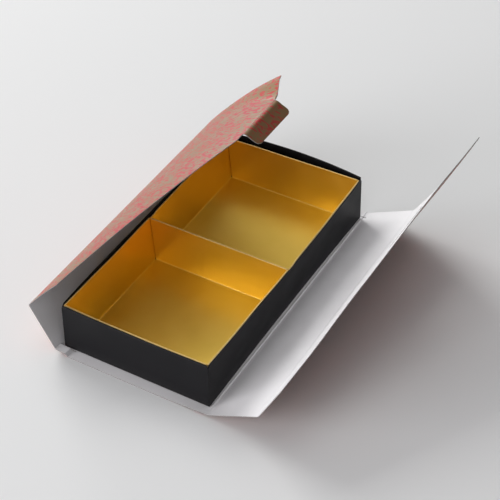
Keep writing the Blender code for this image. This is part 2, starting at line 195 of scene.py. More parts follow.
def kraft_print():
    """The outer side: brown paper printed with short red strokes across the leaf, under a thin
    sheen. A stroke is noise stretched across the leaf and cut at a level that drifts in soft
    clusters. On the tab, where the sheet's X is below -0.1715, strokes are rarer and both colours
    are darker and duller: painted shade, since the tab lies in shade."""
    material, shader, tree = principled("wrap_print", KRAFT, 0.42, specular=0.36)
    strokes = noise(tree, "UV", (230, 540, 1), 0.0, 0.4, 0.1)
    crossing = noise(tree, "UV", (330, 640, 1), 0.0)
    clusters = noise(tree, "UV", (55, 75, 1), 2.0, turn=0.5)
    patches = noise(tree, "UV", (30, 42, 1), 2.0)
    grain = noise(tree, "UV", (1500, 1500, 1), 2.0)
    place = tree.nodes.new("ShaderNodeSeparateXYZ")
    tree.links.new(tree.nodes.new("ShaderNodeTexCoord").outputs["UV"], place.inputs["Vector"])
    # Painted shade: on the tab the print takes its darker, duller colours and rarer strokes.
    off_shaded_tab = ramp(tree, place.outputs["X"], *TAB_PAINTED_SHADE_STARTS)
    density = arithmetic(tree, "MULTIPLY", arithmetic(tree, "SUBTRACT", clusters, 0.5), 0.6)
    level = arithmetic(tree, "ADD", arithmetic(tree, "ADD", strokes, density),
                       arithmetic(tree, "MULTIPLY", off_shaded_tab, 0.08))
    inked = ramp(tree, level, 0.555, 0.59)
    broken = ramp(tree, crossing, 0.36, 0.42, 0.15, 1.0)
    red = arithmetic(tree, "MULTIPLY", inked, broken)
    ground = mixed(tree, ramp(tree, patches, 0.35, 0.65), *KRAFT_MOTTLE)
    ink = mixed(tree, ramp(tree, patches, 0.4, 0.6), *RED_INK)
    finished(
        tree, shader,
        mixed(tree, off_shaded_tab, mixed(tree, red, *TAB_PAINTED_SHADE), mixed(tree, red, ground, ink)),
        ramp(tree, red, 0.0, 1.0, 0.40, 0.46),
        bumped(tree, grain, 0.00002, 0.5),
    )
    return material


def cut_edge(name, colour):
    """A die-cut edge, where the board's fibre core shows in fine layers."""
    material, shader, tree = principled(name, colour, 0.8, specular=0.3)
    layers = noise(tree, "Object", (900, 900, 5000), 2.0)
    dark = tuple(0.82 * part for part in colour)
    finished(
        tree, shader,
        mixed(tree, ramp(tree, layers, 0.35, 0.65), dark, colour),
        normal=bumped(tree, layers, 0.00003),
    )
    return material


WRAP_FINISHES = (white_coating(), kraft_print(), cut_edge("wrap_cut_edge", BOARD_CORE_AND_SHADE))


def shaded(name, mesh, sharp):
    """A finished mesh as an object: smooth, with its edges sharper than an angle kept crisp."""
    mesh.polygons.foreach_set("use_smooth", np.ones(len(mesh.polygons), bool))
    mesh.set_sharp_from_angle(angle=math.radians(sharp))
    return placed(name, mesh)


def board_piece(name, inner, cells, flat, thickness, finishes, sharp=40):
    """A piece of board from points on its inner face. Each outer point is its inner point plus the
    thickness times the normal there; a strip of quads closes every edge that only one cell has.
    cells are quads that turn anticlockwise seen from outside, and flat is each point's place on
    the unfolded sheet, which becomes the UV map. finishes are those of the inner face, the outer
    face and the edge."""
    count = len(inner)
    corner = inner[cells]
    facing = np.cross(corner[:, 2] - corner[:, 0], corner[:, 3] - corner[:, 1])
    normal = np.zeros((count, 3))
    for side in range(4):
        np.add.at(normal, cells[:, side], facing)
    normal /= np.maximum(np.linalg.norm(normal, axis=1, keepdims=True), 1e-12)
    points = np.vstack((inner, inner + thickness * normal))
    starts, ends = cells.ravel(), np.roll(cells, -1, axis=1).ravel()
    single = ~np.isin(starts * count + ends, ends * count + starts)
    starts, ends = starts[single], ends[single]
    rim = np.stack((starts, ends, ends + count, starts + count), 1)
    quads = np.vstack((cells[:, ::-1], cells + count, rim))
    mesh = bpy.data.meshes.new(name)
    mesh.from_pydata(points.tolist(), [], quads.tolist())
    for finish in finishes:
        mesh.materials.append(finish)
    kinds = np.repeat((0, 1, 2), (len(cells), len(cells), len(rim))).astype(np.int32)
    mesh.polygons.foreach_set("material_index", kinds)
    layer = mesh.uv_layers.new(name="flat_sheet")
    places = np.vstack((flat, flat))[quads.ravel()]
    layer.data.foreach_set("uv", places.astype(np.float32).ravel())
    return shaded(name, mesh, sharp)


# Wrap floor
# The panel under the tray, flat on the table. Its front margin shows as a lip before the tray,
# with its right end sprung up a little. At the left a cut parts the margin's last piece from it,
# the front strap; the right crease has a cut like it near its far end, which gapes by 0.6 mm.
WRAP_END = 0.1073
LEFT_CREASE = (-0.0521, 0.0005)
RIGHT_CREASE = (0.0551, 0.0005)
CREASE_REACH = 0.0010
STRAP_START = -0.0424
STRAP_BACK = -0.1020
STRAP_CUT_END = -0.1010
BESIDE_TRAY = 0.0517
CREASE_CUT = (0.1008, 0.1014)
RIDGE_X = 0.0533
RIDGE = 0.0004
LIP_LIFTS = (0.020, 0.054)
SPRING_START = -0.0975
SPRING_UP = 0.0013
SPRING_BACK = (0.00013, 0.0020)


def listed(*grids):
    """The points of some grids as rows, with one column for each grid's value."""
    return np.stack(np.broadcast_arrays(*grids), -1).reshape(-1, len(grids))


def grid_cells(rows, columns, first_up=True):
    """Quads of a grid whose point (row, column) has the number row * columns + column."""
    row, column = np.meshgrid(np.arange(rows - 1), np.arange(columns - 1), indexing="ij")
    start = (row * columns + column).ravel()
    cells = np.stack((start, start + 1, start + columns + 1, start + columns), 1)
    return cells if first_up else cells[:, ::-1]


def used_only(points, cells, flat):
    """The same piece without the points that no cell uses."""
    used, fresh = np.unique(cells, return_inverse=True)
    return points[used], fresh.reshape(cells.shape), flat[used]


def sprung_corner(points, foot, fold):
    """The front right corner of the wrap has sprung: at the very front the right wall's foot is up
    1.3 mm and back 0.13 mm, and its fold's end lies 2 mm further back. All fade over 10 mm, as a
    share's power of 1.5; foot and fold are each point's shares of the two."""
    moved = points.copy()
    front = np.clip((SPRING_START - points[:, 1]) / (SPRING_START + WRAP_END), 0, 1) ** 1.5
    moved[:, 1] += front * (SPRING_BACK[0] * foot + SPRING_BACK[1] * fold)
    moved[:, 2] += SPRING_UP * front * foot
    return moved


floor_x = np.concatenate((
    np.linspace(LEFT_CREASE[0] + CREASE_REACH, STRAP_START, 10),
    np.linspace(STRAP_START + 0.0009, BESIDE_TRAY - 0.0002, 60),
    np.linspace(BESIDE_TRAY + 0.0002, RIGHT_CREASE[0] - CREASE_REACH, 14),
))
floor_y = np.concatenate((
    np.linspace(-WRAP_END, STRAP_CUT_END, 16),
    np.linspace(STRAP_CUT_END + 0.0020, CREASE_CUT[0], 76),
    np.linspace(CREASE_CUT[1], WRAP_END, 5),
))
floor_cells = grid_cells(len(floor_y), len(floor_x), first_up=False)
floor_x, floor_y = np.meshgrid(floor_x, floor_y)
middle = listed(floor_x, floor_y)[floor_cells].mean(1)
at_strap = (middle[:, 0] < STRAP_START) & (middle[:, 1] < STRAP_CUT_END)
at_cut = (middle[:, 0] > BESIDE_TRAY) & (middle[:, 1] > CREASE_CUT[0]) & (
    middle[:, 1] < CREASE_CUT[1])
ridge_share = np.exp(-(((floor_x - RIDGE_X) / RIDGE) ** 2))
ridge = RIDGE * ridge_share * np.clip((floor_y - STRAP_CUT_END) / 0.0006, 0, 1)
lifted = np.clip((floor_x.ravel() - LIP_LIFTS[0]) / (LIP_LIFTS[1] - LIP_LIFTS[0]), 0, 1) ** 1.5
floor_panel = board_piece(
    "wrap_floor_panel",
    *used_only(
        sprung_corner(listed(floor_x, floor_y, LEFT_CREASE[1] + ridge), foot=lifted, fold=0),
        floor_cells[~(at_strap | at_cut)],
        listed(floor_x, floor_y),
    ),
    BOARD, WRAP_FINISHES,
)
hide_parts("wrap_bottom")
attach(floor_panel, "wrap_floor")

# Left wall and its creases
# The wall leans out from the scored crease at the floor, which stops short of the front, where the
# strap joins it. Each crease is a strip of the same board with the bead that scoring leaves. The
# angles of all the panels are in degrees up from +X.
LEFT_WALL_ANGLE = 119.0
LEFT_WALL_WIDTH = 0.0363
LEFT_WALL_WAVE = 0.00012
STRAP_UP = 0.0030


def bearing(degrees):
    """The unit vector in X and Z at an angle up from +X."""
    turn = math.radians(degrees)
    return np.array((math.cos(turn), math.sin(turn)))


def tilted(across, height, y, hinge, degrees):
    """Points of a panel: a distance across from its crease and a height off its own plane become
    X = hinge X + across cos a - height sin a and Z = hinge Z + across sin a + height cos a."""
    cosine, sine = bearing(degrees)
    x = hinge[0] + across * cosine - height * sine
    z = hinge[1] + across * sine + height * cosine
    return listed(x, y, z)


def slow_wave(first, second, size):
    """A board's own slight unevenness: a sum of three long waves, at most about `size`."""
    wave = np.sin(first * 61 + second * 23 + 0.7) + np.sin(second * 47 - first * 38 + 2.1)
    return size * (wave + np.sin(first * 105 + second * 71)) / 3


def crease(name, hinge, before, after, ends, flat_at, bead, reach=CREASE_REACH,
           outward=1, spring=(0, 0), cut=()):
    """The board across a crease. Its inner face is the curve (1-t)^2 A + 2t(1-t) C + t^2 B from the
    panel before to the panel after, with the hinge C between, and a bead on the fold's inside.
    before and after are the angles of the lines from the hinge along the two panels. spring holds
    its shares of the front right corner's spring, and cut is where in Y it is cut right across."""
    steps = np.linspace(0, 1, 13)
    first, last = bearing(before) * reach, bearing(after) * reach
    line = np.array(hinge) + np.outer((1 - steps) ** 2, first) + np.outer(steps**2, last)
    slope = np.gradient(line, axis=0)
    slope /= np.linalg.norm(slope, axis=1, keepdims=True)
    inside = outward * np.stack((slope[:, 1], -slope[:, 0]), 1)
    line = line + inside * (bead * np.exp(-(((steps - 0.5) / 0.17) ** 2)))[:, None]
    rows = np.union1d(np.linspace(*ends, 120), cut)
    points = listed(line[:, 0], rows[:, None], line[:, 1])
    flat = listed(flat_at - outward * reach * (2 * steps - 1), rows[:, None])
    cells = grid_cells(len(rows), len(steps), first_up=outward > 0)
    if cut:
        middle_y = points[cells].mean(1)[:, 1]
        cells = cells[(middle_y < cut[0]) | (middle_y > cut[1])]
    strip = board_piece(name, *used_only(sprung_corner(points, *spring), cells, flat),
                        BOARD, WRAP_FINISHES, 60)
    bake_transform(strip)


across, along = np.meshgrid(
    np.concatenate(([CREASE_REACH], np.linspace(STRAP_UP, LEFT_WALL_WIDTH - CREASE_REACH, 40))),
    np.concatenate((np.linspace(-WRAP_END, STRAP_BACK, 6),
                    np.linspace(STRAP_BACK + 0.0015, WRAP_END, 100))),
)
wall_bow = slow_wave(across, along, LEFT_WALL_WAVE) * np.sin(np.pi * across / LEFT_WALL_WIDTH)
wall_cells = grid_cells(*across.shape)
middle = listed(across, along)[wall_cells].mean(1)
left_wall = board_piece(
    "wrap_left_wall_panel",
    *used_only(
        tilted(across, wall_bow, along, LEFT_CREASE, LEFT_WALL_ANGLE),
        wall_cells[~((middle[:, 0] < STRAP_UP) & (middle[:, 1] < STRAP_BACK))],
        listed(LEFT_CREASE[0] - across, along),
    ),
    BOARD, WRAP_FINISHES,
)
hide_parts("wrap_left_wall")
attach(left_wall, "left_wall")
crease("wrap_left_floor_crease", LEFT_CREASE, 0, LEFT_WALL_ANGLE, (STRAP_BACK, WRAP_END),
       LEFT_CREASE[0], bead=0.00012)

# Front strap
# The front 5 mm of the floor's left edge, cut free along its back. It isn't scored, so it springs
# up from the lip and runs level to the wall's foot instead of folding.
STRAP_RISE = 0.0019
STRAP_CLIMB = (0.16, 0.38)
STRAP_LENGTH = STRAP_START - LEFT_CREASE[0] + STRAP_UP


def eased(share):
    """A share t kept within 0 and 1 and eased at both ends: t^2 (3 - 2t)."""
    share = np.clip(share, 0, 1)
    return share**2 * (3 - 2 * share)


strap_share = np.linspace(0, 1, 40)
strap_end = np.array(LEFT_CREASE) + STRAP_UP * bearing(LEFT_WALL_ANGLE)
climb = eased((strap_share - STRAP_CLIMB[0]) / (STRAP_CLIMB[1] - STRAP_CLIMB[0]))
settle = np.clip((strap_share - STRAP_CLIMB[1]) / (1 - STRAP_CLIMB[1]), 0, 1) ** 2
strap_x = STRAP_START + (strap_end[0] - STRAP_START) * strap_share
strap_z = (LEFT_CREASE[1] + STRAP_RISE * climb
           + (strap_end[1] - LEFT_CREASE[1] - STRAP_RISE) * settle)
share, along = np.meshgrid(strap_share, np.linspace(-WRAP_END, STRAP_BACK, 8))
strap = board_piece(
    "wrap_front_strap",
    listed(strap_x, along, strap_z),
    grid_cells(*share.shape),
    listed(STRAP_START - STRAP_LENGTH * share, along),
    BOARD, WRAP_FINISHES,
)
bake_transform(strap)

# Left leaf
# The printed cover leaf, narrow at the front and wide at the far end. It was rolled over the tray,
# so it has kept a curl, which springs open at the far corner beyond the tab.
LEFT_LEAF_HINGE = (-0.069699, 0.032249)
LEFT_LEAF_ANGLE = 51.5
LEAF_WIDTH = 0.083
LEAF_EDGE_TURN = (0.030, -0.1035)
LEAF_SHOULDER = 0.0415
LEAF_TRIM = (0.0800, 0.0872)
LEAF_CURL = (25.5, 12.5)
CURL_EASES_FROM = 0.088
LEFT_LEAF_WAVE = 0.00015
WAVE_FADES_IN = 0.02
TAB_REACH = 0.0014
TAB_SPAN = (0.0447, 0.0868)
INTEGRAL_STEPS = (np.arange(40) + 0.5) / 40


def leaf_front(distance, width):
    """Y of a leaf's front edge: it rises 3.8 mm over the first 30 mm from the crease, then runs
    straight to the shoulder at the leaf's full width."""
    turn, turn_y = LEAF_EDGE_TURN
    near = -WRAP_END + (turn_y + WRAP_END) * distance / turn
    far = turn_y + (LEAF_SHOULDER - turn_y) * (distance - turn) / (width - turn)
    return np.where(distance <= turn, near, far)


def curled(distance, y):
    """Place of a point of the leaf across its crease: the integral of (cos a, sin a) over the
    distance d, where a = -bend (d / width)^1.2. The bend is 25.5 degrees up to the tab's far end
    and eases to 12.5 at the leaf's far end."""
    past = eased((y - CURL_EASES_FROM) / (WRAP_END - CURL_EASES_FROM))
    bend = np.radians(LEAF_CURL[0] - (LEAF_CURL[0] - LEAF_CURL[1]) * past)
    slope = -bend[..., None] * (distance[..., None] * INTEGRAL_STEPS / LEAF_WIDTH) ** 1.2
    return distance * np.cos(slope).mean(-1), distance * np.sin(slope).mean(-1)


crease("wrap_left_leaf_crease", LEFT_LEAF_HINGE, LEFT_WALL_ANGLE + 180, LEFT_LEAF_ANGLE,
       (-WRAP_END, WRAP_END), LEFT_CREASE[0] - LEFT_WALL_WIDTH,
       bead=0.0001)
leaf_across = np.concatenate((
    np.linspace(CREASE_REACH, LEAF_EDGE_TURN[0], 20, endpoint=False),
    np.linspace(LEAF_EDGE_TURN[0], LEAF_TRIM[0] - 0.0005, 40, endpoint=False),
    np.linspace(LEAF_TRIM[0] - 0.0005, LEAF_WIDTH - TAB_REACH, 6),
))
across, share = np.meshgrid(leaf_across, np.linspace(0, 1, 150))
trim = np.clip((across - LEAF_TRIM[0]) / (LEAF_WIDTH - TAB_REACH - LEAF_TRIM[0]), 0, 1)
leaf_back = WRAP_END + (LEAF_TRIM[1] - WRAP_END) * trim
along = leaf_front(across, LEAF_WIDTH) + (leaf_back - leaf_front(across, LEAF_WIDTH)) * share
leaf_x, leaf_z = curled(across, along)
leaf_z += slow_wave(across, along, LEFT_LEAF_WAVE) * np.clip(across / WAVE_FADES_IN, 0, 1)
left_leaf = board_piece(
    "wrap_left_leaf_panel",
    tilted(leaf_x, leaf_z, along, LEFT_LEAF_HINGE, LEFT_LEAF_ANGLE),
    grid_cells(*across.shape),
    listed(LEFT_CREASE[0] - LEFT_WALL_WIDTH - across, along),
    BOARD, WRAP_FINISHES,
)
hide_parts("wrap_left_leaf")
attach(left_leaf, "left_leaf")

# Tuck tab
# A tongue with two round corners, folded down from the leaf's edge over a soft score. It goes
# through the slit in the right leaf and holds the wrap shut.
TAB_HINGE = (-0.006586, 0.085043)
TAB_ANGLE = -29.0
TAB_LENGTH = 0.0117
TAB_CORNER = 0.0038
TAB_TIP_CURL = 0.0006
TAB_FLAT = LEFT_CREASE[0] - LEFT_WALL_WIDTH - LEAF_WIDTH
crease("wrap_tab_crease", TAB_HINGE, LEFT_LEAF_ANGLE - LEAF_CURL[0] + 180, TAB_ANGLE, TAB_SPAN,
       TAB_FLAT, bead=0.0, reach=TAB_REACH)
tab_across = np.concatenate((
    np.linspace(TAB_REACH, TAB_LENGTH - TAB_CORNER, 10, endpoint=False),
    TAB_LENGTH - TAB_CORNER * (1 - np.sin(np.linspace(0, math.pi / 2, 14))),
))
across, share = np.meshgrid(tab_across, np.linspace(0, 1, 60))
past = np.clip(across - TAB_LENGTH + TAB_CORNER, 0, TAB_CORNER)
inset = TAB_CORNER - np.sqrt(TAB_CORNER**2 - past**2)
along = TAB_SPAN[0] + inset + (TAB_SPAN[1] - TAB_SPAN[0] - 2 * inset) * share
tuck_tab = board_piece(
    "wrap_tuck_tab_panel",
    tilted(across, TAB_TIP_CURL * (across / TAB_LENGTH) ** 2, along, TAB_HINGE, TAB_ANGLE),
    grid_cells(*across.shape),
    listed(TAB_FLAT - across, along),
    BOARD, WRAP_FINISHES,
)
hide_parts("wrap_tuck_tab")
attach(tuck_tab, "tuck_tab")

# Right wall and its creases
# The other wall lies well open and shows its white inner side. Both of its scores stand up as a
# fine bead between two grooves.
RIGHT_WALL_ANGLE = 25.6
RIGHT_WALL_WIDTH = 0.0360
RIGHT_WALL_WAVE = 0.00015
RIGHT_LEAF_HINGE = (0.087566, 0.016055)
RIGHT_LEAF_ANGLE = 62.8
crease("wrap_right_floor_crease", RIGHT_CREASE, 180, RIGHT_WALL_ANGLE, (-WRAP_END, WRAP_END),
       RIGHT_CREASE[0], bead=0.00008, outward=-1,
       spring=(1, 0), cut=CREASE_CUT)
crease("wrap_right_leaf_crease", RIGHT_LEAF_HINGE, RIGHT_WALL_ANGLE + 180, RIGHT_LEAF_ANGLE,
       (-WRAP_END, WRAP_END), RIGHT_CREASE[0] + RIGHT_WALL_WIDTH,
       bead=0.00018, outward=-1, spring=(0, 1))
across, along = np.meshgrid(np.linspace(CREASE_REACH, RIGHT_WALL_WIDTH - CREASE_REACH, 40),
                            np.linspace(-WRAP_END, WRAP_END, 110))
wall_bow = slow_wave(across, along, RIGHT_WALL_WAVE) * np.sin(np.pi * across / RIGHT_WALL_WIDTH)
to_fold = ((across - CREASE_REACH) / (RIGHT_WALL_WIDTH - 2 * CREASE_REACH)).ravel()
right_wall = board_piece(
    "wrap_right_wall_panel",
    sprung_corner(tilted(across, wall_bow, along, RIGHT_CREASE, RIGHT_WALL_ANGLE),
                  foot=1 - to_fold, fold=to_fold),
    grid_cells(*across.shape, first_up=False),
    listed(RIGHT_CREASE[0] + across, along),
    BOARD, WRAP_FINISHES,
)
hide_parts("wrap_right_wall")
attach(right_wall, "right_wall")

# Right leaf
# The other cover leaf, with the slit for the tab cut near its crease. It stands almost edge on to
# the camera, so its outline is taken from the left leaf's. It is twisted, and curls a little at
# its far end.
RIGHT_LEAF_WIDTH = 0.0845
RIGHT_CURL = 4.8
RIGHT_LEAN, RIGHT_TWIST = 0.1, 1.5
TWIST_FROM, TWIST_GROWS, TWIST_FADES = -0.085, 0.055, 0.090
RIGHT_LEAF_FIT, TWISTED_SHORTER = 0.9985, 0.0135
RIGHT_LEAF_WAVE = 0.00012
SLIT_MIDDLE = 0.0248
SLIT_HALF = 0.0013
SLIT_SPAN = (0.0420, 0.0895)


def twisted(distance, y):
    """Place of a point of the right leaf: a crease strip's length along the leaf's own plane, then
    the integral of (cos a, sin a), where a runs from m - c to m + c over the leaf's width. c grows
    from 0 at the front to 4.8 degrees at the far end; the lean m is 0.1 degrees at both ends and
    up to 1.6 between, because the leaf is twisted. Where it leans most it is also 1.5 % shorter."""
    curl = np.radians(RIGHT_CURL) * ((y + WRAP_END) / (2 * WRAP_END)).clip(0, 1) ** 1.5
    twist = eased(np.clip((y - TWIST_FROM) / TWIST_GROWS, 0, 1)
                  * np.clip((WRAP_END - y) / TWIST_FADES, 0, 1))
    lean = np.radians(RIGHT_LEAN + RIGHT_TWIST * twist)
    reach = (distance - CREASE_REACH) * (RIGHT_LEAF_FIT - TWISTED_SHORTER * twist)
    place = CREASE_REACH + reach[..., None] * INTEGRAL_STEPS
    slope = lean[..., None] + curl[..., None] * (2 * place / RIGHT_LEAF_WIDTH - 1)
    return CREASE_REACH + reach * np.cos(slope).mean(-1), reach * np.sin(slope).mean(-1)


slit_columns = SLIT_MIDDLE - SLIT_HALF * np.cos(np.linspace(0, math.pi, 9))
leaf_across = np.concatenate((
    np.linspace(CREASE_REACH, slit_columns[0], 18, endpoint=False),
    slit_columns,
    np.linspace(slit_columns[-1], LEAF_EDGE_TURN[0], 4, endpoint=False)[1:],
    np.linspace(LEAF_EDGE_TURN[0], RIGHT_LEAF_WIDTH, 42),
))
knots = np.concatenate((np.linspace(0, 1, 80, endpoint=False),
                        np.linspace(1, 2, 34, endpoint=False), np.linspace(2, 3, 14)))
across, knot = np.meshgrid(leaf_across, knots)
front = leaf_front(across, RIGHT_LEAF_WIDTH)
along = (front + (SLIT_SPAN[0] - front) * knot.clip(0, 1)
         + (SLIT_SPAN[1] - SLIT_SPAN[0]) * (knot - 1).clip(0, 1)
         + (WRAP_END - SLIT_SPAN[1]) * (knot - 2).clip(0, 1))
off_middle = np.abs(across - SLIT_MIDDLE)
slit_round = SLIT_HALF - np.sqrt(SLIT_HALF**2 - np.minimum(off_middle, SLIT_HALF) ** 2)
slit_round = slit_round * (off_middle <= SLIT_HALF + 1e-7)
along = along + slit_round * ((np.abs(knot - 1) < 1e-9) * 1.0 - (np.abs(knot - 2) < 1e-9) * 1.0)
leaf_x, leaf_z = twisted(across, along)
leaf_z += slow_wave(across, along, RIGHT_LEAF_WAVE) * np.clip(across / WAVE_FADES_IN, 0, 1)
leaf_cells = grid_cells(*across.shape, first_up=False)
middle = listed(across, knot)[leaf_cells].mean(1)
in_slit = (np.abs(middle[:, 0] - SLIT_MIDDLE) < SLIT_HALF) & (np.abs(middle[:, 1] - 1.5) < 0.5)
right_leaf = board_piece(
    "wrap_right_leaf_panel",
    *used_only(
        sprung_corner(tilted(leaf_x, leaf_z, along, RIGHT_LEAF_HINGE, RIGHT_LEAF_ANGLE),
                      foot=0, fold=1),
        leaf_cells[~in_slit],
        listed(RIGHT_CREASE[0] + RIGHT_WALL_WIDTH + across, along),
    ),
    BOARD, WRAP_FINISHES,
)
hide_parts("wrap_right_leaf")
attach(right_leaf, "right_leaf")

# Black tray
# A tray folded from one blank of black-coated board, 0.6 mm thick, with round-edged folds and a
# small relief at each rim corner. Its walls have bowed out, the far one most, and the right rim
# has sunk 0.9 mm. Its end walls hold the glued corner flaps.
TRAY_HALF = (0.0515, 0.1000)
TRAY_FOOT = 0.0008
TRAY_HEIGHT = 0.0340
TRAY_BOARD = 0.0006
TRAY_CORNER = 0.0007
BOW_FROM = (0.0490, 0.0965)
FAR_BOW, NEAR_BOW, RIGHT_BOW, LEFT_BOW = 0.0042, 0.0010, 0.0016, 0.0005
NEAR_FOOT_OUT, RIGHT_FOOT_OUT = 0.0007, 0.0009
RELIEF_DEPTH, RELIEF_LENGTH, RELIEF_SLOPE = 0.0026, 0.0030, 0.0024
RIM_ROW = 8
RIM_SUNK_RIGHT, RIM_UP_LEFT, RIM_SUNK_NEAR_LEFT = 0.0009, 0.0005, 0.0008
FAR_RIM_FROM, FAR_RIM_FADE = 0.0985, 0.012
CORNER_WEAR, CORNER_WEAR_REACH = 0.55, 0.0006
BLACK = (0.008, 0.0077, 0.009)
BLACK_CLOUDS = (0.0066, 0.0063, 0.0076), (0.0090, 0.0086, 0.0100)
BLACK_RUBBED = (0.024, 0.023, 0.024)


def rounded_loop(half_x, half_y, radius, shares):
    """A rectangle with quarter-circle corners, anticlockwise from the corner at +X and +Y: each
    corner's arc, then the next side's points at the given shares of its straight part."""
    turn = np.linspace(0, math.pi / 2, 7)
    pieces = []
    for quarter in range(4):
        angle = quarter * math.pi / 2
        sign_x = 1 if quarter in (0, 3) else -1
        sign_y = 1 if quarter in (0, 1) else -1
        centre = np.array((sign_x * (half_x - radius), sign_y * (half_y - radius)))
        arc = centre + radius * np.stack((np.cos(turn + angle), np.sin(turn + angle)), 1)
        next_centre = centre * ((-1, 1) if quarter % 2 == 0 else (1, -1))
        end = next_centre + arc[-1] - centre
        pieces += [arc, arc[-1] + (end - arc[-1]) * shares[quarter % 2][:, None]]
    return np.vstack(pieces)


def bowed(points):
    """The black tray's bow: with height share h, the far wall moves out 4.2 h (1 - (x/X)^2) mm, the
    near wall 1.0 h (1 - (x/X)^2), the right wall 1.6 h (1 - (y/Y)^2) and the left wall
    0.5 h (1 - (y/Y)^4). The near wall's foot stands out 0.7 (1 - h) and the right one's
    0.9 (1 - h) (y/Y)^2."""
    share = (points[:, 2] - TRAY_FOOT).clip(0) / TRAY_HEIGHT
    moved = points.copy()
    far = np.clip((points[:, 1] - BOW_FROM[1]) / 0.0015, 0, 1)
    near = np.clip((-BOW_FROM[1] - points[:, 1]) / 0.0015, 0, 1)
    right = np.clip((points[:, 0] - BOW_FROM[0]) / 0.0010, 0, 1)
    left = np.clip((-BOW_FROM[0] - points[:, 0]) / 0.0010, 0, 1)
    off_side = (1 - (points[:, 0] / TRAY_HALF[0]) ** 2).clip(0)
    from_end = (points[:, 1] / TRAY_HALF[1]) ** 2
    moved[:, 1] += (FAR_BOW * far - NEAR_BOW * near) * share * off_side
    moved[:, 1] -= NEAR_FOOT_OUT * near * (1 - share)
    moved[:, 0] += right * (RIGHT_BOW * share * (1 - from_end).clip(0)
                            + RIGHT_FOOT_OUT * (1 - share) * from_end)
    moved[:, 0] -= LEFT_BOW * left * share * (1 - from_end**2).clip(0)
    return moved


def rim_shares(x, y):
    """Two shares that say how high the rims stand: one grows from the left side to 1 at the right
    with the power 2.5, and the other is what is left of 1, fading from the near end to nothing
    50 mm from the middle."""
    to_right = ((x + TRAY_HALF[0]) / (2 * TRAY_HALF[0])).clip(0, 1) ** 2.5
    return to_right, (1 - to_right) * np.clip((-0.050 - y) / 0.045, 0, 1)


def fold_wear(tree):
    """How much each point's fold or rim is worn, from the mesh's own attribute."""
    node = tree.nodes.new("ShaderNodeAttribute")
    node.attribute_name = "fold_wear"
    return node.outputs["Fac"]


def store_wear(mesh, wear):
    """Writes each point's wear, from 0 to 1, into the mesh."""
    layer = mesh.attributes.new("fold_wear", "FLOAT", "POINT")
    layer.data.foreach_set("value", wear.ravel().astype(np.float32))


def black_coating():
    """Black-coated board: fine tooth, a dull sheen, and a greyer bloom where folds have rubbed."""
    material, shader, tree = principled("tray_black_coating", BLACK, 0.5, specular=0.14)
    tooth = noise(tree, "Object", (2200, 2200, 2200), 2.0)
    cloud = noise(tree, "Object", (38, 38, 60), 3.0)
    scuffs = noise(tree, "Object", (420, 420, 420), 3.0)
    rubbed = arithmetic(tree, "MULTIPLY", fold_wear(tree),
                        ramp(tree, scuffs, 0.35, 0.65, 0.25, 1.0))
    face = mixed(tree, ramp(tree, cloud, 0.35, 0.65), *BLACK_CLOUDS)
    finished(
        tree, shader,
        mixed(tree, rubbed, face, BLACK_RUBBED),
        ramp(tree, cloud, 0.3, 0.7, 0.46, 0.54),
        bumped(tree, tooth, 0.00003, 0.5),
    )
    return material


black_side = black_coating()
relief_shares = np.array((0.0005, 0.003, 0.006, 0.009, 0.0116, 0.0125))
side_shares = np.concatenate((relief_shares, np.linspace(0.03, 0.97, 60), 1 - relief_shares[::-1]))
end_shares = np.concatenate(([0.002], np.linspace(0.01, 0.99, 50), [0.998]))
# The wall's profile, from under the floor round the fold, up the outside, over the rim and down
# the inside to the floor: each row's distance in from the wall's face, its height and its wear.
wall_profile = np.array((
    (0.0012, 0.0, 0), (0.0007, 0.0, 0), (0.0003, 0.00012, 0.5), (0.0001, 0.00032, 0.7),
    (0.0, 0.0007, 0.4), (0.0, 0.008, 0), (0.0, 0.017, 0), (0.0, 0.026, 0), (0.0, 0.0332, 0.15),
    (0.0, 0.03385, 0.8), (0.00004, 0.03396, 1), (0.00012, 0.0340, 1), (0.00048, 0.0340, 1),
    (0.00056, 0.03396, 1), (0.0006, 0.03385, 0.8), (0.0006, 0.0332, 0.15), (0.0006, 0.026, 0),
    (0.0006, 0.017, 0), (0.0006, 0.008, 0), (0.0006, 0.0016, 0), (0.0008, 0.0010, 0),
    (0.0012, 0.00068, 0), (0.0018, 0.0006, 0),
))
loops = []
for inset, height, _ in wall_profile:
    loop = rounded_loop(TRAY_HALF[0] - inset, TRAY_HALF[1] - inset,
                        max(TRAY_CORNER - inset, 0.0001), (end_shares, side_shares))
    loops.append(np.column_stack((loop, np.full(len(loop), height))))
loops = np.array(loops)
rim_x, rim_y = loops[RIM_ROW, :, 0], loops[RIM_ROW, :, 1]
off_side, off_end = TRAY_HALF[0] - np.abs(rim_x), TRAY_HALF[1] - np.abs(rim_y)
on_side_wall = off_side < TRAY_CORNER + 0.00002
relief = RELIEF_DEPTH * on_side_wall * np.clip((RELIEF_LENGTH - off_end) / RELIEF_SLOPE, 0, 1)
# The rim sinks 0.9 mm at the right and 0.3 at the near left. Where this sum is below zero, as at
# the left beyond the middle, it stands at its full height, as it does along the far wall.
to_right, near_left = rim_shares(rim_x, rim_y)
sunk = (RIM_SUNK_RIGHT * to_right - RIM_UP_LEFT * (1 - to_right)
        + RIM_SUNK_NEAR_LEFT * near_left)
relief = np.maximum(relief, sunk * np.clip((FAR_RIM_FROM - rim_y) / FAR_RIM_FADE, 0, 1))
upper = (wall_profile[:, 1] > 0.02)[:, None]
loops[..., 2] = loops[..., 2] * np.where(upper, 1 - relief / TRAY_HEIGHT, 1) + TRAY_FOOT
around = loops.shape[1]
column = np.arange(around)
following = np.roll(column, -1)
ring = np.arange(len(loops) - 1)[:, None] * around
tray_cells = listed(ring + column, ring + following, ring + around + following,
                    ring + around + column)
underside, inner_floor = column[::-1], (len(loops) - 1) * around + column
tray_mesh = bpy.data.meshes.new("black_tray_body")
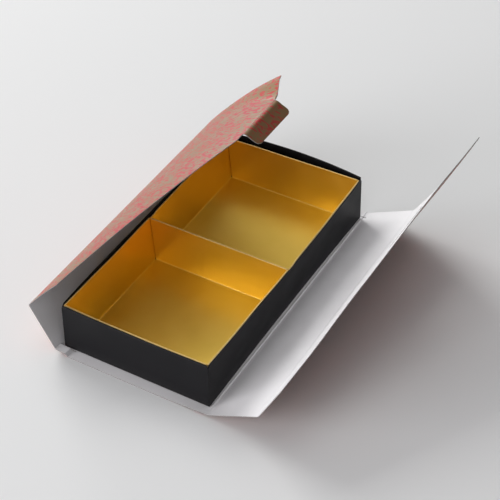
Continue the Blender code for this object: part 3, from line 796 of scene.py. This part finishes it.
tray_mesh.from_pydata(bowed(loops.reshape(-1, 3)).tolist(), [],
                      tray_cells.tolist() + [underside.tolist(), inner_floor.tolist()])
tray_mesh.materials.append(black_side)
corner_wear = CORNER_WEAR * np.exp(-(((off_side + off_end) / CORNER_WEAR_REACH) ** 2))
outside = (wall_profile[:, 0] < 0.0003)[:, None]
store_wear(tray_mesh, np.maximum(wall_profile[:, 2][:, None], corner_wear * outside))
black_tray = shaded("black_tray_body", tray_mesh, 50)
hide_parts("black_tray")
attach(black_tray, "outer_tray")

# Glued corner flaps
# The side walls run on round each corner and are glued inside the end walls, with a slanted free
# edge, of the same black board.
FLAP_REACH = (0.0007, 0.0160)
FLAP_SLANT = 0.0012
FLAP_FOOT, FLAP_HEIGHT = 0.0011, 0.0305
FLAP_BOARD, FLAP_INSIDE = 0.00035, 0.0004
flap_across, flap_up = np.meshgrid(np.linspace(*FLAP_REACH, 14), np.linspace(0, 1, 12))
flap_points, flap_cells = [], []
for side, end in ((-1, -1), (-1, 1), (1, -1), (1, 1)):
    reach = flap_across - FLAP_SLANT * (flap_across / FLAP_REACH[1]) * np.abs(2 * flap_up - 1)
    flap_cells.append(len(flap_points) * flap_up.size
                      + grid_cells(*flap_up.shape, first_up=side * end > 0))
    flap_points.append(bowed(listed(side * (TRAY_HALF[0] - reach),
                                    end * (TRAY_HALF[1] - TRAY_BOARD - FLAP_INSIDE),
                                    TRAY_FOOT + FLAP_FOOT + flap_up * FLAP_HEIGHT)))
flap_points = np.vstack(flap_points)
black_flaps = board_piece("black_tray_corner_flaps", flap_points, np.vstack(flap_cells),
                          flap_points[:, ::2], FLAP_BOARD, (black_side, black_side, black_side))
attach(black_flaps, "outer_tray")

# Gold inner trays
# Two trays of gold foil laminated to 0.8 mm board stand end to end in the black one. Each is a
# cross shaped blank: its side walls turn round the corners into flaps glued outside the end walls.
# Their walls follow the black tray's bow, and the two between them lean towards the near tray.
GOLD_HALF = (0.0505, 0.0485)
GOLD_TAPER = (0.0050, 0.0042)
GOLD_HEIGHT = 0.0317
GOLD_FOOT = 0.0017
GOLD_BOARD = 0.0008
GOLD_FOLD = 0.0005
GOLD_FOLD_TOP = 0.0012
GOLD_FLAP_TURN = 0.0005
GOLD_FLAP_UP = (0.0024, 0.0240)
GOLD_FLAP_ROWS = (0.0023, 0.0232)
SIDE_GAP, END_GAP = 0.0003, 0.00035
GOLD_WAVE = 0.0003
GOLD_RIGHT_OUT, GOLD_NEAR_OUT, GOLD_BETWEEN_LEAN = 0.0013, 0.0009, 0.0013
TRAYS_MEET = -0.0014
NEAR_LEFT_UP = 0.0005
FOLD_WEAR, WEAR_BAND = 0.35, 0.0006
GOLD = (0.93, 0.635, 0.12)
GOLD_CLOUDS = (0.92, 0.625, 0.112), (0.94, 0.645, 0.125)
GOLD_FOLDED = (0.97, 0.74, 0.27)
GOLD_CORE = (0.97, 0.67, 0.25)


def gold_foil():
    """Gold foil on board: the foil is pressed a little uneven, with a fine grain, so that what it
    mirrors blurs. Folds and rims have stretched the lacquer paler and rougher."""
    material, shader, tree = principled("gold_foil", GOLD, 0.32, 1.0)
    clouds = noise(tree, "Object", (60, 60, 60), 3.0)
    grain = noise(tree, "Object", (1500, 1500, 1500), 2.0)
    ripple = noise(tree, "Object", (90, 90, 90), 1.0)
    fold = fold_wear(tree)
    face = mixed(tree, ramp(tree, clouds, 0.3, 0.7), *GOLD_CLOUDS)
    rough = ramp(tree, clouds, 0.3, 0.7, 0.30, 0.34)
    finished(
        tree, shader,
        mixed(tree, fold, face, GOLD_FOLDED),
        arithmetic(tree, "ADD", rough, arithmetic(tree, "MULTIPLY", fold, 0.2)),
        bumped(tree, grain, 0.00002, 0.2, under=bumped(tree, ripple, 0.0006, 0.04)),
    )
    return material


GOLD_SIDE = gold_foil()
GOLD_FINISHES = (GOLD_SIDE, GOLD_SIDE, cut_edge("gold_cut_edge", GOLD_CORE))


def section(half, taper):
    """A gold tray's section from rim to rim: signed distances along the blank, the signed place
    across and the height of each, and the floor's half width. The floor runs out to a round fold,
    then the wall leans out by its taper; rows lie close to the glued flaps' edges and the rim."""
    lean = math.atan2(taper, GOLD_HEIGHT)
    foot = half - taper * (1 - GOLD_BOARD / GOLD_HEIGHT) - GOLD_BOARD / math.cos(lean)
    turn = math.pi / 2 - lean
    tangent = GOLD_FOLD * math.tan(turn / 2)
    flat = np.linspace(0, foot - tangent, 34)
    bend = np.linspace(0, turn, 9)[1:]
    wall = (GOLD_HEIGHT - GOLD_BOARD) / math.cos(lean)
    rise = np.concatenate((
        np.linspace(tangent, GOLD_FLAP_ROWS[0], 3)[1:], np.linspace(*GOLD_FLAP_ROWS, 16)[1:],
        np.linspace(GOLD_FLAP_ROWS[1], wall - WEAR_BAND, 8)[1:], [wall - 0.0002, wall],
    ))
    place = np.concatenate((flat, foot - tangent + GOLD_FOLD * np.sin(bend),
                            foot + rise * math.sin(lean)))
    height = np.concatenate((0 * flat, GOLD_FOLD * (1 - np.cos(bend)), rise * math.cos(lean)))
    height = height + GOLD_BOARD
    along = np.concatenate((flat, flat[-1] + GOLD_FOLD * bend,
                            flat[-1] + GOLD_FOLD * turn + rise - tangent))
    return (np.concatenate((-along[:0:-1], along)), np.concatenate((-place[:0:-1], place)),
            np.concatenate((height[:0:-1], height)), flat[-1])


def settled(x, y, share):
    """Where a point of a gold tray has settled, with height share h: the right wall moves out
    1.3 h (1 - (y/Y)^2) mm, the near wall 0.9 h (1 - (x/X)^2) mm, and the walls between the trays
    1.3 h mm towards the near end; each fades to nothing at the middle of its tray."""
    off_side = (1 - (x / GOLD_HALF[0]) ** 2).clip(0)
    off_end = (1 - (y / TRAY_HALF[1]) ** 2).clip(0)
    near = GOLD_NEAR_OUT * off_side * np.clip((-0.050 - y) / 0.048, 0, 1)
    between = GOLD_BETWEEN_LEAN * np.clip(1 - np.abs(y - TRAYS_MEET) / 0.046, 0, 1)
    right = GOLD_RIGHT_OUT * off_end * np.clip(x / 0.0455, 0, 1)
    return x + share * right, y - share * (near + between)


def mid_wave(along, half):
    """1 at the middle of a wall, falling as a sine to 0 at its ends."""
    return np.sin(np.pi * np.clip(along / half / 2 + 0.5, 0, 1))


def gold_tray(name, centre_y, turned, far_reach, rim_drop, body):
    """One gold tray. The blank is a grid; a point on the side walls keeps its height while the rows
    spread to the end walls' slope, and past the corner it runs back along the end wall's outside.
    far_reach moves the far wall out, at its foot and at its rim's left and right ends. The near
    rim stands rim_drop lower, and both trays' rims up to 0.5 mm higher at the near left."""
    blank_x, place_x, height_x, floor_x = section(GOLD_HALF[0], GOLD_TAPER[0])
    blank_y, place_y, height_y, floor_y = section(GOLD_HALF[1], GOLD_TAPER[1])
    flap_rows = floor_y + np.concatenate((np.linspace(0.0002, 0.0012, 6),
                                          np.linspace(0.0020, 0.0145, 8)))
    u, v = np.meshgrid(
        blank_x, np.unique(np.round(np.concatenate((blank_y, flap_rows, -flap_rows)), 9)))
    side = np.abs(u) > floor_x + 1e-9
    end = (np.abs(v) > floor_y + 1e-9) & ~side

    # The side walls, with the flaps that turn round the corners.
    x = np.interp(u, blank_x, place_x)
    z = np.interp(u, blank_x, height_x)
    out_y = GOLD_HALF[1] - GOLD_TAPER[1] * (1 - z / GOLD_HEIGHT)
    level = np.clip((z - GOLD_BOARD) / GOLD_FOLD_TOP, 0, 1)
    spread = floor_y + (out_y - SIDE_GAP - floor_y) * level
    y = np.where(side, np.clip(v / floor_y, -1, 1) * spread, v)
    past = np.clip(np.abs(v) - floor_y, 0, None) * side
    turn = np.clip(past / GOLD_FLAP_TURN, 0, math.pi / 2)
    straight = np.clip(past - GOLD_FLAP_TURN * math.pi / 2, 0, None)
    x = x - np.sign(u) * (GOLD_FLAP_TURN * (1 - np.cos(turn)) + straight)
    y = y + np.sign(v) * GOLD_FLAP_TURN * np.sin(turn) * side

    # The end walls, which widen to the side walls' inner faces.
    end_height = np.interp(v, blank_y, height_y)
    inner_x = (GOLD_HALF[0] - GOLD_TAPER[0] * (1 - end_height / GOLD_HEIGHT)
               - GOLD_BOARD - END_GAP)
    level = np.clip((end_height - GOLD_BOARD) / GOLD_FOLD_TOP, 0, 1)
    x = np.where(end, u / floor_x * (floor_x + (inner_x - floor_x) * level), x)
    y = np.where(end, np.interp(v, blank_y, place_y), y)
    z = np.where(end, end_height, z)

    # The walls' own unevenness, then where the tray stands and how it has settled.
    wall = np.clip((z - 0.003) / 0.008, 0, 1)
    side_wave = slow_wave(y + centre_y, z, GOLD_WAVE) * mid_wave(y, GOLD_HALF[1])
    x = x + side * (np.abs(v) <= floor_y) * wall * side_wave * np.sign(u)
    end_wave = slow_wave(x + 0.03, z, GOLD_WAVE) * mid_wave(x, GOLD_HALF[0])
    y = y + end * wall * end_wave * np.sign(v)
    if turned:
        u, v, x, y = -u, -v, -x, -y
    share = z / GOLD_HEIGHT
    rim_reach = far_reach[1] + (far_reach[2] - far_reach[1]) * (x / 0.1 + 0.5)
    y = y + np.clip(y / 0.044, 0, 1) * (far_reach[0] * (1 - share) + share * rim_reach)
    near_rim = np.clip((-0.040 - y) / 0.004, 0, 1)
    x, y = settled(x, y + centre_y, share)
    at_fold = np.maximum(
        np.exp(-(((np.abs(u) - floor_x - WEAR_BAND) / 0.0004) ** 2)) * (np.abs(v) < floor_y),
        np.exp(-(((np.abs(v) - floor_y - WEAR_BAND) / 0.0004) ** 2)) * (np.abs(u) < floor_x))
    at_rim = np.clip((z - GOLD_HEIGHT + WEAR_BAND) / WEAR_BAND, 0, 1)

    # The cross shaped blank: floor and end walls, side walls, and flaps of a limited height.
    cells = grid_cells(*u.shape, first_up=False)
    middle_u, middle_v = np.abs(listed(u, v)[cells].mean(1)).T
    on_side = side.ravel()[cells].all(1)
    corner_z = z.ravel()[cells]
    floor_and_ends = (middle_u < floor_x) & (middle_v < blank_y[-1])
    sides = (middle_u > floor_x) & (middle_v < floor_y)
    flaps = on_side & (middle_v > floor_y) & (middle_v < flap_rows[-1]) & (
        corner_z.min(1) > GOLD_FLAP_UP[0]) & (corner_z.max(1) < GOLD_FLAP_UP[1])
    z = z + share * (NEAR_LEFT_UP * rim_shares(x, y)[1] - rim_drop * near_rim)
    points, kept, flat = used_only(
        listed(x, y, z + GOLD_FOOT), cells[floor_and_ends | sides | flaps],
        listed(u, v, np.maximum(FOLD_WEAR * at_fold, at_rim)))
    tray = board_piece(name, points, kept, flat[:, :2], GOLD_BOARD, GOLD_FINISHES, 50)
    store_wear(tray.data, np.tile(flat[:, 2], 2))
    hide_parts(name.replace("_sheet", ""))
    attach(tray, body)


gold_tray("near_gold_tray_sheet", -0.0501, turned=False, far_reach=(0.0, 0.0, 0.0),
          rim_drop=0.0, body="near_inner_tray")
gold_tray("far_gold_tray_sheet", 0.0473, turned=True, far_reach=(0.0020, 0.0004, 0.0026),
          rim_drop=0.0009, body="far_inner_tray")

# Table and light
# A pale matt table in a white room. Most of the light comes through a window on the far left, with
# a low one beside it and white screens in front and at the left; the room's right side is dim.
DAYLIGHT = (1.0, 1.008, 0.995)
SHADE = (0.985, 0.980, 1.0)
TABLE = (0.87, 0.87, 0.87)
ROOM_LIGHT = 0.04
table_mesh = bpy.data.meshes.new("table")
table_mesh.from_pydata([(-6, -6, 0), (6, -6, 0), (6, 6, 0), (-6, 6, 0)], [], [(0, 1, 2, 3)])
table_mesh.materials.append(principled("table", TABLE, 0.9, specular=0.1)[0])
table = placed("table", table_mesh)
table.location.z = -0.00005


def direction(azimuth, elevation):
    """The unit vector at an azimuth, in degrees anticlockwise from +X, and an elevation."""
    turn, rise = math.radians(azimuth), math.radians(elevation)
    return Vector((math.cos(turn) * math.cos(rise), math.sin(turn) * math.cos(rise),
                   math.sin(rise)))


def panel_light(name, azimuth, elevation, distance, size, radiance, colour):
    """A rectangular light that faces the origin. Its power is pi times area times radiance."""
    data = bpy.data.lights.new(name, "AREA")
    data.shape = "RECTANGLE"
    data.size, data.size_y = size
    data.energy = math.pi * size[0] * size[1] * radiance
    data.color = colour
    lamp = placed(name, data)
    lamp.location = distance * direction(azimuth, elevation)
    lamp.rotation_euler = direction(azimuth, elevation).to_track_quat("Z", "Y").to_euler()


panel_light("window", 155, 35, 2.4, (1.4, 1.0), 6.1, DAYLIGHT)
panel_light("low_window", 143, 14, 2.2, (0.6, 0.4), 8.8, DAYLIGHT)
panel_light("ceiling", 150, 82, 2.4, (1.6, 1.2), 1.0, DAYLIGHT)
panel_light("front_screen", 270, 14, 2.6, (2.2, 1.0), 2.2, SHADE)
panel_light("front_left_screen", 232, 14, 2.6, (1.6, 1.0), 6.8, SHADE)

# The walls of the room glow in front and at the far left: each adds e^(7 (cos a - 1)) times its
# strength, with a the angle from the middle of its glow.
world = bpy.data.worlds.new("room")
bpy.context.scene.world = world
world.use_nodes = True
tree = world.node_tree
outward = tree.nodes.new("ShaderNodeTexCoord")
room = ROOM_LIGHT
for glow, azimuth, elevation in ((0.86, 270, 45), (0.66, 135, 45)):
    toward = tree.nodes.new("ShaderNodeVectorMath")
    toward.operation = "DOT_PRODUCT"
    toward.inputs[1].default_value = direction(azimuth, elevation)
    tree.links.new(outward.outputs["Generated"], toward.inputs[0])
    below_full = arithmetic(tree, "SUBTRACT", toward.outputs["Value"], 1.0)
    wall_glow = arithmetic(tree, "EXPONENT", arithmetic(tree, "MULTIPLY", below_full, 7.0), 0.0)
    room = arithmetic(tree, "ADD", arithmetic(tree, "MULTIPLY", wall_glow, glow), room)
tree.links.new(room, tree.nodes["Background"].inputs["Strength"])
tree.nodes["Background"].inputs["Color"].default_value = (*SHADE, 1.0)
